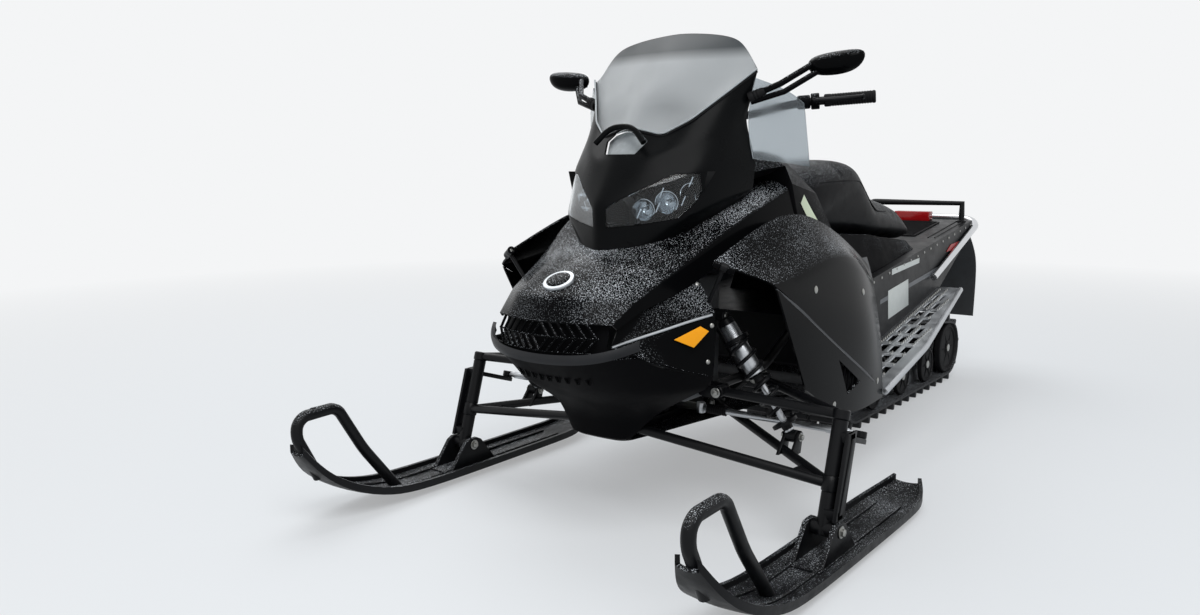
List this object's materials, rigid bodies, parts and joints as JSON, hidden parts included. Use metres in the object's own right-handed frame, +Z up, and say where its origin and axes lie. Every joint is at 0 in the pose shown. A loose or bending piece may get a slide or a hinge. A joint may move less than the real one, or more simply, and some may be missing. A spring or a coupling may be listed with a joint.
{
  "type": "snowmobile",
  "caption": "Two-ski, single-track snowmobile with lugged track, double-arm front suspension, steering that turns the skis and opening side panels.",
  "frame": {"origin": "on the ground under the middle of the machine's outline", "axes": "+Z up, the front points to -Y, the rider's left is +X"},
  "size_m": [1.225, 2.831, 1.175],
  "materials": {
    "gloss_black": "high gloss moulded panel",
    "matte_black": "fine grained moulded plastic",
    "grey_plastic": "satin moulded plastic",
    "frame_paint": "black powder coat",
    "block_grey": "cast block",
    "bare_aluminium": "mill finish",
    "bright_tube": "bright tube",
    "chrome_shock": "polished",
    "steel": "zinc plated",
    "track_rubber": "moulded rubber",
    "wheel_rubber": "rubber rimmed",
    "grip_rubber": "soft rubber",
    "flap_rubber": "sheet rubber",
    "seat_vinyl": "coated cloth",
    "smoked_clear": "clear with a smoked top",
    "lamp_clear": "clear lens",
    "mirror_shell": "gloss shell",
    "red_lens": "red lens",
    "amber_lens": "amber lens",
    "ski_plastic": "tough moulded plastic"
  },
  "bodies": {
    "chassis": {"belly_pan": "matte_black", "console": "matte_black", "deck_mat": "matte_black", "drive_axle": "steel", "engine": "block_grey", "front_bumper": "grey_plastic", "front_frame": "frame_paint", "fuel_tank": "matte_black", "gauge": "gloss_black", "grab_bar": "frame_paint", "grille": "matte_black", "headlamps": "lamp_clear", "headlight_pod": "matte_black", "hood": "gloss_black", "idler_wheels": "wheel_rubber", "knee_panels": "grey_plastic", "lower_arms": "frame_paint", "mirrors": "mirror_shell", "rear_bumper": "bright_tube", "running_boards": "bare_aluminium", "seat": "seat_vinyl", "shocks": "chrome_shock", "side_fascia": "gloss_black", "side_reflectors": "amber_lens", "slide_rails": "bare_aluminium", "snow_flap": "flap_rubber", "springs": "frame_paint", "suspension_arms": "frame_paint", "tail_lamp": "red_lens", "track": "track_rubber", "tunnel": "bare_aluminium", "upper_arms": "frame_paint", "wind_deflectors": "smoked_clear", "windshield": "smoked_clear"},
    "handlebar": {"handlebar": "frame_paint", "grips": "grip_rubber"},
    "spindle_left": {"spindle_left": "frame_paint", "ski_left": "ski_plastic", "ski_runner_left": "steel"},
    "spindle_right": {"spindle_right": "frame_paint", "ski_right": "ski_plastic", "ski_runner_right": "steel"},
    "steering_rack": {"tie_rods": "bare_aluminium"},
    "side_panel_left": {"side_panel_left": "gloss_black"},
    "side_panel_right": {"side_panel_right": "gloss_black"}
  },
  "joints": [
    {"name": "handlebar_turn", "type": "hinge", "parent": "chassis", "child": "handlebar", "pos_m": [0, -0.385, 0.972], "axis": [0, 0.3795, 0.9252], "range_deg": [-30, 30]},
    {"name": "ski_turn_left", "type": "hinge", "parent": "chassis", "child": "spindle_left", "pos_m": [0.54, -0.836, 0.172], "axis": [0, 0.3057, 0.9521], "range_deg": [-30, 30]},
    {"name": "ski_turn_right", "type": "hinge", "parent": "chassis", "child": "spindle_right", "pos_m": [-0.54, -0.836, 0.172], "axis": [0, 0.3057, 0.9521], "range_deg": [-30, 30]},
    {"name": "steering_link_slide", "type": "slide", "parent": "chassis", "child": "steering_rack", "axis": [1, 0, 0], "range_m": [-0.0635, 0.0635]},
    {"name": "side_panel_left_hinge", "type": "hinge", "parent": "chassis", "child": "side_panel_left", "pos_m": [0.289, -0.924, 0.641], "axis": [0.7792, 0.5171, -0.3542], "range_deg": [0, 50]},
    {"name": "side_panel_right_hinge", "type": "hinge", "parent": "chassis", "child": "side_panel_right", "pos_m": [-0.289, -0.924, 0.641], "axis": [0.7792, -0.5171, 0.3542], "range_deg": [0, 50]}
  ],
  "couplings": [
    {"joint": "ski_turn_left", "follows": "handlebar_turn", "ratio": 1},
    {"joint": "ski_turn_right", "follows": "handlebar_turn", "ratio": 1},
    {"joint": "steering_link_slide", "follows": "handlebar_turn", "m_per_rad": -0.1203}
  ]
}
